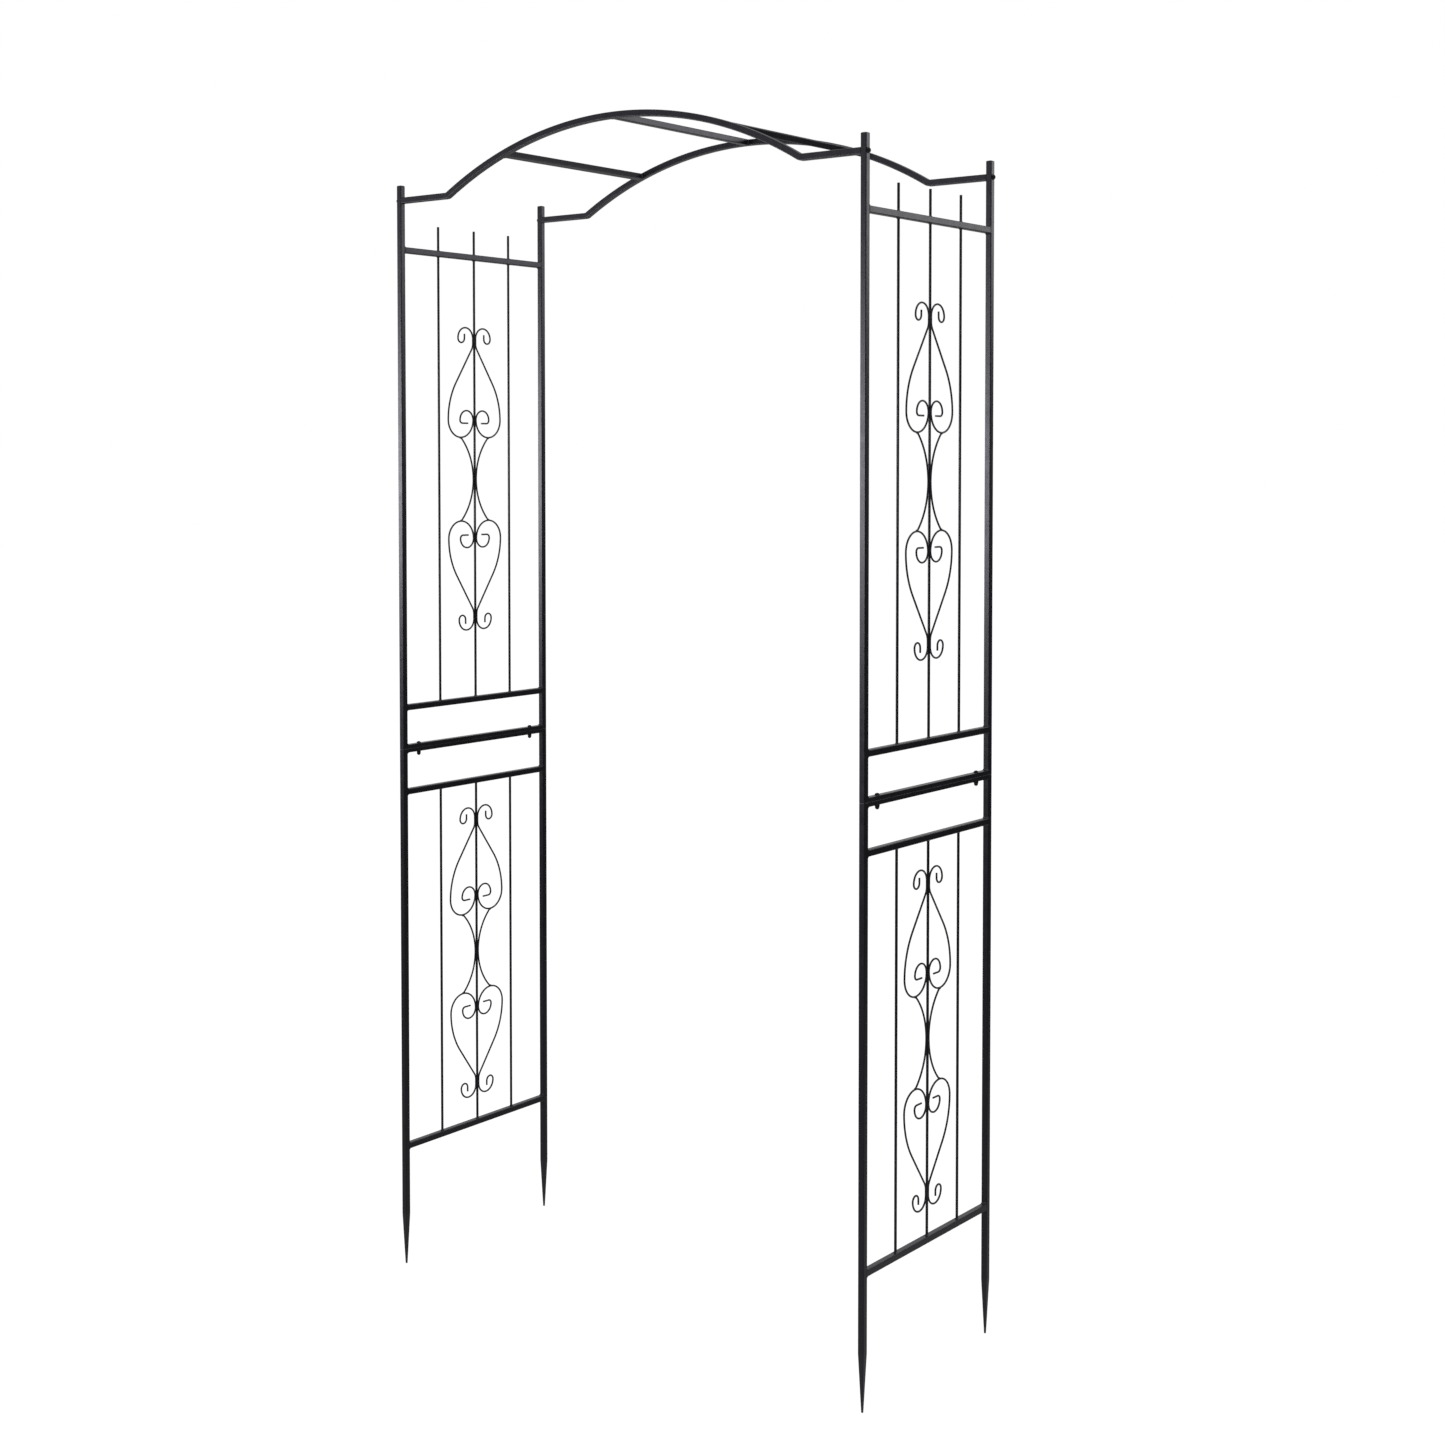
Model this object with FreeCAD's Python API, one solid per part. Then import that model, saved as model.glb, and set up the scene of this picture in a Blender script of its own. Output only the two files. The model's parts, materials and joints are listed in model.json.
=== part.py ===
import FreeCAD, Part
import math
import os

# A walk-through garden arch of square steel tube: four posts on pointed stakes, two ladder
# panels with round rods and wire scrolls, and a pair of bowed bars with rungs over the top.
# Millimetres. The origin lies on the ground midway between the four stake tips: X runs across
# the path, Y runs through the arch from front to back, and Z is up.

Vector = FreeCAD.Vector
ACROSS = Vector(1, 0, 0)
THROUGH = Vector(0, 1, 0)
UP = Vector(0, 0, 1)

# Overall layout, to the centres of the tubes
post_spacing_x = 1120.0
post_spacing_y = 418.0
post_height = 2200.0
half_x = post_spacing_x / 2
half_y = post_spacing_y / 2

# Square tube
tube = 12.0
tube_wall = 1.0
tube_corner = 1.5
bore_corner = 0.5
joint_bar_height = 8.0
joint_bar_corner = 0.4
drill_reach = 2 * tube

# Stake at the foot of each post
stake_length = 104.0
stake_tip = 3.0
stake_tip_corner = 0.4

# Heights of the panels' bars
bottom_rail_z = 243.0
lower_head_rail_z = 972.0
joint_z = 1060.0
upper_base_rail_z = 1144.0
top_rail_z = 2071.0
seam_chamfer = 0.4

# Sleeve inside each pair of posts, and the cap on top
sleeve_length = 90.0
sleeve_clearance = 0.1
cap_plate = 2.0
cap_dome = 1.2
cap_crown_width = 7.2
cap_plug_length = 9.0
cap_plug_clearance = 0.15

# Round rods of the panels
rod_radius = 2.5
rod_spacing = post_spacing_y / 4
rod_top_z = 2126.0
rod_hole_clearance = 0.1

# Wire scrolls, measured along the wire's centre line from the rod's axis
wire_radius = 1.75
grip = rod_radius + wire_radius
heart_reach = 77.5
curl_reach = 48.0
inner_reach = 43.0
hook_radius = 9.5
hook_tail = 9.0
curl_grip_length = 11.0
leave_radius = 22.0
flank_radius = 140.0
inner_hook_radius = 7.0
inner_tail = 16.0
upper_link_half = 87.5
upper_heart_run = 170.5
lower_link_half = 83.5
lower_heart_run = 165.5

# Bowed top bars and the rungs between them
arch_end_z = 2169.0
arch_rise = 115.5
arch_radius = 848.0
arch_bend_radius = 15.0
rung_spacing = 276.0

# Fasteners: M5 screws with domed heads, threaded plugs in the bar ends, and cap nuts
screw_radius = 2.5
screw_hole_radius = 2.75
screw_tip_chamfer = 0.5
arch_head_radius = 5.3
arch_head_height = 4.6
arch_screw_length = 28.0
arch_plug_length = 14.0
arch_plug_clearance = 0.1
thread_clearance = 0.05
joint_head_radius = 4.8
joint_head_height = 3.8
joint_screw_inset = 42.0
joint_screw_length = 21.0
cap_nut_flats = 8.0
cap_nut_hex_height = 4.2
cap_nut_dome_radius = 3.8
cap_nut_height = 9.2
cap_nut_thread_depth = 6.0
socket_flats = 3.0
socket_depth = 1.8

POSTS = {
    "front_left": (-half_x, -half_y),
    "front_right": (half_x, -half_y),
    "back_left": (-half_x, half_y),
    "back_right": (half_x, half_y),
}
SIDES = {"left": -half_x, "right": half_x}
RODS = {"front": -rod_spacing, "mid": 0.0, "back": rod_spacing}
RUNGS = {"left": -rung_spacing, "mid": 0.0, "right": rung_spacing}


def rounded_rectangle(centre, side, up, width, height, radius):
    """Wire of a rectangle with round corners, in the plane of side and up."""
    half_w = width / 2 - radius
    half_h = height / 2 - radius
    corners = []
    for turn, (sign_w, sign_h) in enumerate(((1, 1), (-1, 1), (-1, -1), (1, -1))):
        middle = centre + side * (sign_w * half_w) + up * (sign_h * half_h)
        points = []
        for step in (0, 45, 90):
            angle = math.radians(90 * turn + step)
            points.append(middle + side * (radius * math.cos(angle)) + up * (radius * math.sin(angle)))
        corners.append(points)
    edges = []
    for index, points in enumerate(corners):
        edges.append(Part.Arc(*points).toShape())
        edges.append(Part.makeLine(points[2], corners[(index + 1) % 4][0]))
    return Part.Wire(edges)


def bar(start, end, side, up, width, height, radius):
    """Solid bar of a rounded rectangle section."""
    section = rounded_rectangle(start, side, up, width, height, radius)
    return Part.Face(section).extrude(end - start)


def hollow_bar(start, end, side, up, height=tube, corner=tube_corner):
    """Open-ended tube from start to end."""
    outside = bar(start, end, side, up, tube, height, corner)
    bore = bar(start, end, side, up, tube - 2 * tube_wall, height - 2 * tube_wall, bore_corner)
    return outside.cut(bore)


def level_edges(shape, z):
    """Edges of a shape that lie flat at height z."""
    found = []
    for edge in shape.Edges:
        box = edge.BoundBox
        if max(abs(box.ZMin - z), abs(box.ZMax - z)) < 1e-4:
            found.append(edge)
    return found


def chamfer_end(shape, x, y, z):
    """Chamfer the outer edges of an upright tube's end at height z."""
    middle_of_wall = (tube - tube_wall) / 2
    outer = []
    for edge in level_edges(shape, z):
        centre = edge.CenterOfMass
        if max(abs(centre.x - x), abs(centre.y - y)) > middle_of_wall:
            outer.append(edge)
    return shape.makeChamfer(seam_chamfer, outer)


def make_lower_post(x, y):
    """Lower length of post, pinched to a four-sided stake at its foot."""
    foot = Vector(x, y, stake_length)
    body = hollow_bar(foot, Vector(x, y, joint_z), ACROSS, THROUGH)
    shoulder = rounded_rectangle(foot, ACROSS, THROUGH, tube, tube, tube_corner)
    tip = rounded_rectangle(Vector(x, y, 0), ACROSS, THROUGH, stake_tip, stake_tip, stake_tip_corner)
    stake = Part.makeLoft([tip, shoulder], True, True)
    post = body.fuse(stake).removeSplitter()
    return chamfer_end(post, x, y, joint_z)


def make_upper_post(x, y):
    """Upper length of post, drilled across for the screw that holds the bowed bar."""
    body = hollow_bar(Vector(x, y, joint_z), Vector(x, y, post_height - cap_plate), ACROSS, THROUGH)
    start = Vector(x - drill_reach / 2, y, arch_end_z)
    hole = Part.makeCylinder(screw_hole_radius, drill_reach, start, ACROSS)
    return chamfer_end(body.cut(hole), x, y, joint_z)


def make_post_cap(x, y):
    """Cap with a plug inside the post and a faintly crowned plate on top."""
    seat = Vector(x, y, post_height - cap_plate)
    edge = seat + UP * (cap_plate - cap_dome)
    plate = bar(seat, edge, ACROSS, THROUGH, tube, tube, tube_corner)
    rim = rounded_rectangle(edge, ACROSS, THROUGH, tube, tube, tube_corner)
    top = seat + UP * cap_plate
    crown = rounded_rectangle(top, ACROSS, THROUGH, cap_crown_width, cap_crown_width, tube_corner)
    dome = Part.makeLoft([rim, crown], True, True)
    plug_width = tube - 2 * tube_wall - 2 * cap_plug_clearance
    plug = bar(seat - UP * cap_plug_length, seat, ACROSS, THROUGH, plug_width, plug_width, tube_wall)
    return plate.fuse([dome, plug]).removeSplitter()


def make_sleeve(x, y):
    """Square sleeve hidden in both lengths of a post, so that one slips over the other."""
    width = tube - 2 * tube_wall - 2 * sleeve_clearance
    low = Vector(x, y, joint_z - sleeve_length / 2)
    outside = bar(low, low + UP * sleeve_length, ACROSS, THROUGH, width, width, tube_wall)
    inner = width - 2 * tube_wall
    bore = bar(low, low + UP * sleeve_length, ACROSS, THROUGH, inner, inner, tube_wall / 2)
    return outside.cut(bore)


def make_rail(x, z, height=tube, corner=tube_corner):
    """Tube between the front and back post of one side."""
    reach = half_y - tube / 2
    return hollow_bar(Vector(x, -reach, z), Vector(x, reach, z), ACROSS, UP, height, corner)


def make_top_rail(x):
    """Top rail of a panel, drilled through for the rods that stand above it."""
    rail = make_rail(x, top_rail_z)
    for y in RODS.values():
        start = Vector(x, y, top_rail_z - drill_reach / 2)
        rail = rail.cut(Part.makeCylinder(rod_radius + rod_hole_clearance, drill_reach, start, UP))
    return rail


def make_joint_bar(x, z):
    """Flatter, sharper tube that closes a panel where two panels meet, drilled for the screws."""
    rail = make_rail(x, z, joint_bar_height, joint_bar_corner)
    for sign in (-1, 1):
        start = Vector(x, sign * (half_y - joint_screw_inset), z - drill_reach / 2)
        rail = rail.cut(Part.makeCylinder(screw_hole_radius, drill_reach, start, UP))
    return rail


def make_rod(x, y, low, high):
    """Upright round rod."""
    return Part.makeCylinder(rod_radius, high - low, Vector(x, y, low), UP)


class PanelPlane:
    """Points in the plane of a panel: out from a rod's axis to one side, and up from a centre."""

    def __init__(self, x, centre_z, side, flip):
        self.x = x
        self.centre_z = centre_z
        self.side = side
        self.flip = flip

    def point(self, out, rise):
        return Vector(self.x, self.side * out, self.centre_z + self.flip * rise)

    def line(self, start, end):
        return Part.makeLine(self.point(*start), self.point(*end))

    def arc(self, centre, radius, first, last):
        """Arc about a centre from one angle to another, in degrees."""
        points = []
        for angle in (first, (first + last) / 2, last):
            turn = math.radians(angle)
            out = centre[0] + radius * math.cos(turn)
            rise = centre[1] + radius * math.sin(turn)
            points.append(self.point(out, rise))
        return Part.Arc(*points).toShape()


def sweep_wire(path_edges, normal):
    """Round wire along a flat path, which is given as edges in order."""
    path = Part.Wire(path_edges)
    first = path_edges[0]
    start = first.valueAt(first.FirstParameter)
    heading = first.tangentAt(first.FirstParameter)
    section = Part.Wire(Part.makeCircle(wire_radius, start, heading))
    sweep = Part.BRepOffsetAPI.MakePipeShell(path)
    sweep.setBiNormalMode(normal)
    sweep.add(section)
    sweep.build()
    sweep.makeSolid()
    return sweep.shape()


def heart_path(plane, link_half, heart_run):
    """Half a heart: hooked curl, flank, round shoulder by the link, and small inner curl."""
    heart_radius = (heart_reach - grip) / 2
    curl_radius = (curl_reach - grip) / 2
    inner_radius = (inner_reach - grip) / 2
    heart = link_half + heart_radius
    curl = heart + heart_run
    leave = curl - curl_grip_length

    # The wire leaves the rod on one arc, leans out straight, and rounds the flank on another arc.
    flank_centre = (heart_reach - flank_radius, heart)
    leave_centre = (grip + leave_radius, leave)
    width = leave_centre[0] - flank_centre[0]
    both = flank_radius + leave_radius
    straight = math.sqrt(width ** 2 + (leave - heart) ** 2 - both ** 2)
    lean = math.atan2(leave - heart, width) - math.atan2(straight, both)
    out, rise = math.cos(lean), math.sin(lean)
    straight_top = (leave_centre[0] - leave_radius * out, leave - leave_radius * rise)
    straight_foot = (flank_centre[0] + flank_radius * out, heart + flank_radius * rise)
    lean = math.degrees(lean)

    tail_out = curl_reach - 2 * hook_radius
    inner_hook_out = inner_reach - inner_hook_radius
    inner_end = heart - inner_hook_radius
    return [
        plane.line((tail_out, curl + hook_tail), (tail_out, curl)),
        plane.arc((curl_reach - hook_radius, curl), hook_radius, 180, 360),
        plane.arc((curl_reach - curl_radius, curl), curl_radius, 0, 180),
        plane.line((grip, curl), (grip, leave)),
        plane.arc(leave_centre, leave_radius, 180, 180 + lean),
        plane.line(straight_top, straight_foot),
        plane.arc(flank_centre, flank_radius, lean, 0),
        plane.arc((grip + heart_radius, heart), heart_radius, 0, -180),
        plane.arc((grip + inner_radius, heart), inner_radius, 180, 0),
        plane.arc((inner_hook_out, heart), inner_hook_radius, 0, -90),
        plane.line((inner_hook_out, inner_end), (inner_hook_out - inner_tail, inner_end)),
    ]


def make_hearts(x, centre_z, flip, link_half, heart_run):
    """Mirrored pair of half hearts, on the front and the back of the middle rod."""
    halves = []
    for side in (-1, 1):
        plane = PanelPlane(x, centre_z, side, flip)
        halves.append(sweep_wire(heart_path(plane, link_half, heart_run), ACROSS))
    return Part.makeCompound(halves)


def make_links(x, centre_z, link_half, hearts):
    """Pair of bowed wires that touch the rod and end on the hearts' shoulders."""
    swing = (heart_reach - grip) / 2
    radius = (link_half ** 2 + swing ** 2) / (2 * swing)
    spread = math.degrees(math.asin(link_half / radius))
    links = []
    for side in (-1, 1):
        plane = PanelPlane(x, centre_z, side, 1)
        bow = plane.arc((grip + radius, 0), radius, 180 - spread, 180 + spread)
        links.append(sweep_wire([bow], ACROSS).cut(hearts).Solids[0])
    return Part.makeCompound(links)


def bowed_line(y, reach):
    """Edges of a bowed bar's centre line: level ends, two tight bends and the long arc between them."""
    centre_z = arch_end_z + arch_rise - arch_radius
    bend_centre_z = arch_end_z + arch_bend_radius
    both = arch_radius + arch_bend_radius
    bend_centre_x = math.sqrt(both ** 2 - (bend_centre_z - centre_z) ** 2)
    lean = math.degrees(math.atan2(bend_centre_z - centre_z, bend_centre_x))

    def arc(centre_x, height, radius, first, last):
        points = []
        for angle in (first, (first + last) / 2, last):
            turn = math.radians(angle)
            points.append(Vector(centre_x + radius * math.cos(turn), y, height + radius * math.sin(turn)))
        return Part.Arc(*points).toShape()

    return [
        Part.makeLine(Vector(-reach, y, arch_end_z), Vector(-bend_centre_x, y, arch_end_z)),
        arc(-bend_centre_x, bend_centre_z, arch_bend_radius, 270, 360 - lean),
        arc(0, centre_z, arch_radius, 180 - lean, lean),
        arc(bend_centre_x, bend_centre_z, arch_bend_radius, 180 + lean, 270),
        Part.makeLine(Vector(bend_centre_x, y, arch_end_z), Vector(reach, y, arch_end_z)),
    ]


def make_bowed_bar(y):
    """Square tube with level ends that bends up into a shallow arc over the path."""
    reach = half_x - tube / 2
    path = Part.Wire(bowed_line(y, reach))
    start = Vector(-reach, y, arch_end_z)
    shells = []
    for width, corner in ((tube, tube_corner), (tube - 2 * tube_wall, bore_corner)):
        sweep = Part.BRepOffsetAPI.MakePipeShell(path)
        sweep.setBiNormalMode(THROUGH)
        sweep.add(rounded_rectangle(start, THROUGH, UP, width, width, corner))
        sweep.build()
        sweep.makeSolid()
        shells.append(sweep.shape())
    return shells[0].cut(shells[1])


def make_rung(x):
    """Straight tube between the two bowed bars, square to their curve."""
    centre_z = arch_end_z + arch_rise - arch_radius
    lean = math.asin(x / arch_radius)
    z = centre_z + arch_radius * math.cos(lean)
    side = Vector(math.cos(lean), 0, -math.sin(lean))
    normal = Vector(math.sin(lean), 0, math.cos(lean))
    reach = half_y - tube / 2
    return hollow_bar(Vector(x, -reach, z), Vector(x, reach, z), side, normal)


def hexagon(flats, low, high):
    """Hexagonal prism on the Z axis between two heights."""
    corner = flats / math.sqrt(3)
    points = []
    for step in range(7):
        angle = math.radians(60 * step)
        points.append(Vector(corner * math.cos(angle), corner * math.sin(angle), low))
    return Part.Face(Part.makePolygon(points)).extrude(UP * (high - low))


def make_screw(head_radius, head_height, length):
    """Screw with a domed socket head above Z = 0 and its shank below."""
    sphere = (head_radius ** 2 + head_height ** 2) / (2 * head_height)
    ball = Part.makeSphere(sphere, Vector(0, 0, head_height - sphere))
    dome = ball.common(Part.makeCylinder(head_radius, head_height))
    socket = hexagon(socket_flats, head_height - socket_depth, 2 * head_height)
    shank = Part.makeCylinder(screw_radius, length, Vector(0, 0, -length))
    tipped = shank.makeChamfer(screw_tip_chamfer, level_edges(shank, -length))
    return dome.cut(socket).fuse(tipped).removeSplitter()


def make_arch_screws():
    """Four screws driven inward through the posts into the bowed bars' ends."""
    screws = []
    for x, y in POSTS.values():
        screw = make_screw(arch_head_radius, arch_head_height, arch_screw_length)
        outward = math.copysign(1, x)
        screw.rotate(Vector(0, 0, 0), THROUGH, 90 * outward)
        screw.translate(Vector(x + outward * tube / 2, y, arch_end_z))
        screws.append(screw)
    return Part.makeCompound(screws)


def make_arch_end_plugs():
    """Four threaded plugs fixed in the ends of the bowed bars."""
    width = tube - 2 * tube_wall - 2 * arch_plug_clearance
    plugs = []
    for x, y in POSTS.values():
        inward = -math.copysign(1, x)
        end = Vector(x + inward * tube / 2, y, arch_end_z)
        inner_end = end + ACROSS * (inward * arch_plug_length)
        block = bar(end, inner_end, THROUGH, UP, width, width, tube_wall)
        start = end - ACROSS * drill_reach
        thread = Part.makeCylinder(screw_radius + thread_clearance, 2 * drill_reach, start, ACROSS)
        plugs.append(block.cut(thread))
    return Part.makeCompound(plugs)


def joint_screw_places():
    """Where the upright screws stand, at the top of the upper joint bars."""
    places = []
    for x in SIDES.values():
        for sign in (-1, 1):
            places.append(Vector(x, sign * (half_y - joint_screw_inset), joint_z + joint_bar_height))
    return places


def make_joint_screws():
    """Four upright screws that clamp the joint bars of the panels together."""
    screws = []
    for place in joint_screw_places():
        screw = make_screw(joint_head_radius, joint_head_height, joint_screw_length)
        screw.translate(place)
        screws.append(screw)
    return Part.makeCompound(screws)


def make_cap_nut():
    """Domed nut hanging below Z = 0, with a blind thread."""
    body = hexagon(cap_nut_flats, -cap_nut_hex_height, 0)
    neck_height = cap_nut_height - cap_nut_dome_radius
    neck = Part.makeCylinder(cap_nut_dome_radius, neck_height, Vector(0, 0, 0), -UP)
    ball = Part.makeSphere(cap_nut_dome_radius, Vector(0, 0, -neck_height))
    thread_radius = screw_radius + thread_clearance
    thread = Part.makeCylinder(thread_radius, cap_nut_thread_depth, Vector(0, 0, 0), -UP)
    return body.fuse([neck, ball]).cut(thread).removeSplitter()


def make_joint_nuts():
    """Four cap nuts under the lower joint bars."""
    nuts = []
    for place in joint_screw_places():
        nut = make_cap_nut()
        nut.translate(place - UP * (2 * joint_bar_height))
        nuts.append(nut)
    return Part.makeCompound(nuts)


def make_panel(name, x):
    """Bars, rods and scrolls of one side, as a dictionary of node names and shapes."""
    nodes = {
        f"{name}_bottom_rail": make_rail(x, bottom_rail_z),
        f"{name}_lower_head_rail": make_rail(x, lower_head_rail_z),
        f"{name}_lower_joint_bar": make_joint_bar(x, joint_z - joint_bar_height / 2),
        f"{name}_upper_joint_bar": make_joint_bar(x, joint_z + joint_bar_height / 2),
        f"{name}_upper_base_rail": make_rail(x, upper_base_rail_z),
        f"{name}_top_rail": make_top_rail(x),
    }
    half = tube / 2
    for place, y in RODS.items():
        lower = make_rod(x, y, bottom_rail_z + half, lower_head_rail_z - half)
        upper = make_rod(x, y, upper_base_rail_z + half, rod_top_z)
        nodes[f"{name}_lower_rod_{place}"] = lower
        nodes[f"{name}_upper_rod_{place}"] = upper
    scrolls = {
        "lower": ((bottom_rail_z + lower_head_rail_z) / 2, lower_link_half, lower_heart_run),
        "upper": ((upper_base_rail_z + top_rail_z) / 2, upper_link_half, upper_heart_run),
    }
    for level, (centre_z, link_half, heart_run) in scrolls.items():
        upright = make_hearts(x, centre_z, 1, link_half, heart_run)
        inverted = make_hearts(x, centre_z, -1, link_half, heart_run)
        hearts = upright.Solids + inverted.Solids
        nodes[f"{name}_{level}_scroll_upright"] = upright
        nodes[f"{name}_{level}_scroll_inverted"] = inverted
        nodes[f"{name}_{level}_scroll_links"] = make_links(x, centre_z, link_half, hearts)
    return nodes


def make_arch():
    """Every node of the arch, by name."""
    nodes = {}
    for corner, (x, y) in POSTS.items():
        nodes[f"lower_post_{corner}"] = make_lower_post(x, y)
        nodes[f"upper_post_{corner}"] = make_upper_post(x, y)
        nodes[f"post_sleeve_{corner}"] = make_sleeve(x, y)
    nodes["post_caps"] = Part.makeCompound([make_post_cap(x, y) for x, y in POSTS.values()])
    for name, x in SIDES.items():
        nodes.update(make_panel(name, x))
    nodes["front_bowed_bar"] = make_bowed_bar(-half_y)
    nodes["back_bowed_bar"] = make_bowed_bar(half_y)
    for place, x in RUNGS.items():
        nodes[f"top_rung_{place}"] = make_rung(x)
    nodes["arch_screws"] = make_arch_screws()
    nodes["arch_end_plugs"] = make_arch_end_plugs()
    nodes["joint_screws"] = make_joint_screws()
    nodes["joint_cap_nuts"] = make_joint_nuts()
    return nodes


os.makedirs("parts", exist_ok=True)
for node, shape in make_arch().items():
    print(f"{node:32s} solids {len(shape.Solids):2d}  valid {shape.isValid()}  volume {shape.Volume:10.1f}")
    shape.exportStep(f"parts/{node}.step")
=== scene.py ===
import bmesh
import bpy
import json
import math
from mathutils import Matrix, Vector, noise


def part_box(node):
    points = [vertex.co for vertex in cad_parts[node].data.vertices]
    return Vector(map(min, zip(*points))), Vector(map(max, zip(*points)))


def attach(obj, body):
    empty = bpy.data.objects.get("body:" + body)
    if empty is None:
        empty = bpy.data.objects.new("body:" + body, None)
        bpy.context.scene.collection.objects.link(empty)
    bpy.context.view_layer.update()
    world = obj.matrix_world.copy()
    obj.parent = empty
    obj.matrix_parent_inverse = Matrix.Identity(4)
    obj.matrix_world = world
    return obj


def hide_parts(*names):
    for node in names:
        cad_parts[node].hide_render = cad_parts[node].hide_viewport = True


# Looks of a walk-through garden arch: satin black powder coat over square tube, round rods and
# bent wire, with the weld beads, moulded post caps and plated fasteners that hold it together.
# Metres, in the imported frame: X across the path, Y through the arch, Z up.

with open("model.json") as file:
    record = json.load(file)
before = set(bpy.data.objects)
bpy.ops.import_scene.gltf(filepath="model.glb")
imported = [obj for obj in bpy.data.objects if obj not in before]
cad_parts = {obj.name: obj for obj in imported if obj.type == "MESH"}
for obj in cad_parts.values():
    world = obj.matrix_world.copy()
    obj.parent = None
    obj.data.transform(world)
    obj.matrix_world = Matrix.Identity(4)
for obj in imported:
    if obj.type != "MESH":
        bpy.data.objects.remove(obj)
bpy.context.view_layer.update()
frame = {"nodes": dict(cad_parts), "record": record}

MM = 0.001
ACROSS = Vector((1, 0, 0))
THROUGH = Vector((0, 1, 0))
UP = Vector((0, 0, 1))

# Camera: place, heading, lens and framing
CAMERA_PLACE = (2.532, -3.188, 1.637)
CAMERA_PITCH = 87.96
CAMERA_HEADING = 37.38
CAMERA_LENS = 52.18
CAMERA_SHIFT_UP = -0.1265

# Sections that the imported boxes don't give
TUBE_WALL = 1.0 * MM
TUBE_CORNER = 1.5 * MM
BORE_CORNER = 0.5 * MM
JOINT_BAR_CORNER = 0.4 * MM
CORNER_STEPS = 6
FLAT_GUARD = 0.4 * MM
END_GUARD = 1.5 * MM
ROD_RADIUS = 2.5 * MM
ROD_END_CHAMFER = 0.45 * MM
ROD_END_SOFTENING = 0.12 * MM
WIRE_RADIUS = 1.75 * MM

# Posts
SEAM_ROUND = 0.45 * MM
STAKE_LENGTH = 104 * MM
STAKE_TIP = 3.0 * MM
STAKE_TIP_CORNER = 0.4 * MM
STAKE_TIP_ROUND = 0.8 * MM
STAKE_RINGS = (0.25, 0.5, 0.75, 0.92, 0.98, 1.0)
CAP_EDGE = 0.35 * MM
CAP_PLUG_PLAY = 0.3 * MM
CAP_PLUG_CHAMFER = 0.8 * MM
CAP_CROWN_RINGS = (0.28, 0.45, 0.62, 0.78, 0.90, 0.97, 1.0)
CAP_CROWN_DRAW = 0.86
CAP_CROWN_TOP = 1.6 * MM

# Bowed bars
ARCH_RADIUS = 848 * MM
ARCH_BEND_RADIUS = 15 * MM
ARCH_BEND_STEPS = 10
ARCH_STEPS = 60

# Screws and cap nuts
SCREW_RADIUS = 2.5 * MM
SCREW_END_CHAMFER = 0.5 * MM
HEAD_RIM = 0.25 * MM
HEAD_STEPS = 12
SOCKET_MOUTH_SHARE = 0.68
SOCKET_POINT_SHARE = 0.12
SOCKET_FLATS = 3.0 * MM
SOCKET_DEPTH = 1.8 * MM
ARCH_HEAD_RADIUS = 5.3 * MM
ARCH_HEAD_HEIGHT = 4.6 * MM
ARCH_SCREW_LENGTH = 28 * MM
JOINT_HEAD_RADIUS = 4.8 * MM
JOINT_HEAD_HEIGHT = 3.8 * MM
NUT_FLATS = 8.0 * MM
NUT_HEX_HEIGHT = 4.2 * MM
NUT_DOME_RADIUS = 3.8 * MM
NUT_THREAD_RADIUS = 2.55 * MM
NUT_THREAD_DEPTH = 6.0 * MM

# Weld beads
BEAD_LEG = 2.1 * MM
BEAD_ON_POST = 1.9 * MM
BEAD_SINK = 0.1 * MM
BEAD_STEP = 0.55 * MM
BEAD_FLUSH_BELLY = 0.50
BEAD_CORNER_BELLY = 0.24
BEAD_RIPPLES = (380, 1300)
ROD_WELD_REACH = 1.75 * MM
ROD_WELD_HEIGHT = 2.0 * MM
ROD_WELD_BELLY = 0.22
ROD_WELD_ROOT = 0.4 * MM
ROD_WELD_RIPPLES = (420, 1400)
LUMP_RIPPLE = 700

# Spot welds on the scrolls: half-lengths, and how a wire's touch on the rod is found
GRIP_SPOT = (0.8 * MM, 0.95 * MM)
GRIP_SPOT_PLACE = (1.75 * MM, 2.62 * MM)
GRIP_SPOT_LENGTHS = (2.2 * MM, 4.2 * MM)
LINK_SPOT = (1.95 * MM, 3.2 * MM, 2.0 * MM)
LINK_SPOT_DROP = 0.4 * MM
TOUCH_ACROSS = 0.6 * MM
TOUCH_DEPTH = 0.22 * MM
TOUCH_GAP = 14 * MM

# Powder coat: dark and light colour, then least and greatest roughness
FRAME_COAT = ((0.0080, 0.0077, 0.0112), (0.0125, 0.0121, 0.0168), 0.25, 0.31)
SCROLL_COAT = ((0.0078, 0.0075, 0.0105), (0.0120, 0.0117, 0.0158), 0.26, 0.32)
COAT_TINT = (0.91, 0.89, 1.0, 1)
COAT_SPECKLE_SHARE = 0.25
COAT_SHADE_RANGE = (0.40, 0.85)

# Noise scales, in features per metre
COAT_DRIFT = 26
COAT_SPECKLE = 2600
COAT_GLOSS = 60
COAT_PEEL = 620
COAT_GRAIN = 3200
ZINC_WEAR = 420
ZINC_GLOSS = 900
ZINC_GRAIN = 2400
PLASTIC_SHADE = 300
PLASTIC_GLOSS = 700
PLASTIC_GRAIN = 4200
STEEL_STREAKS = 900
STEEL_STRETCH = (1.0, 1.0, 0.06)
FLOOR_SHADE = 1.5

# Bumps: distance and strength
PEEL_BUMP = (0.25 * MM, 0.09)
GRAIN_BUMP = (0.06 * MM, 0.10)
ZINC_BUMP = (0.05 * MM, 0.2)
PLASTIC_BUMP = (0.05 * MM, 0.5)
STREAK_BUMP = (0.05 * MM, 0.3)

SHARP_ANGLE = 38

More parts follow.
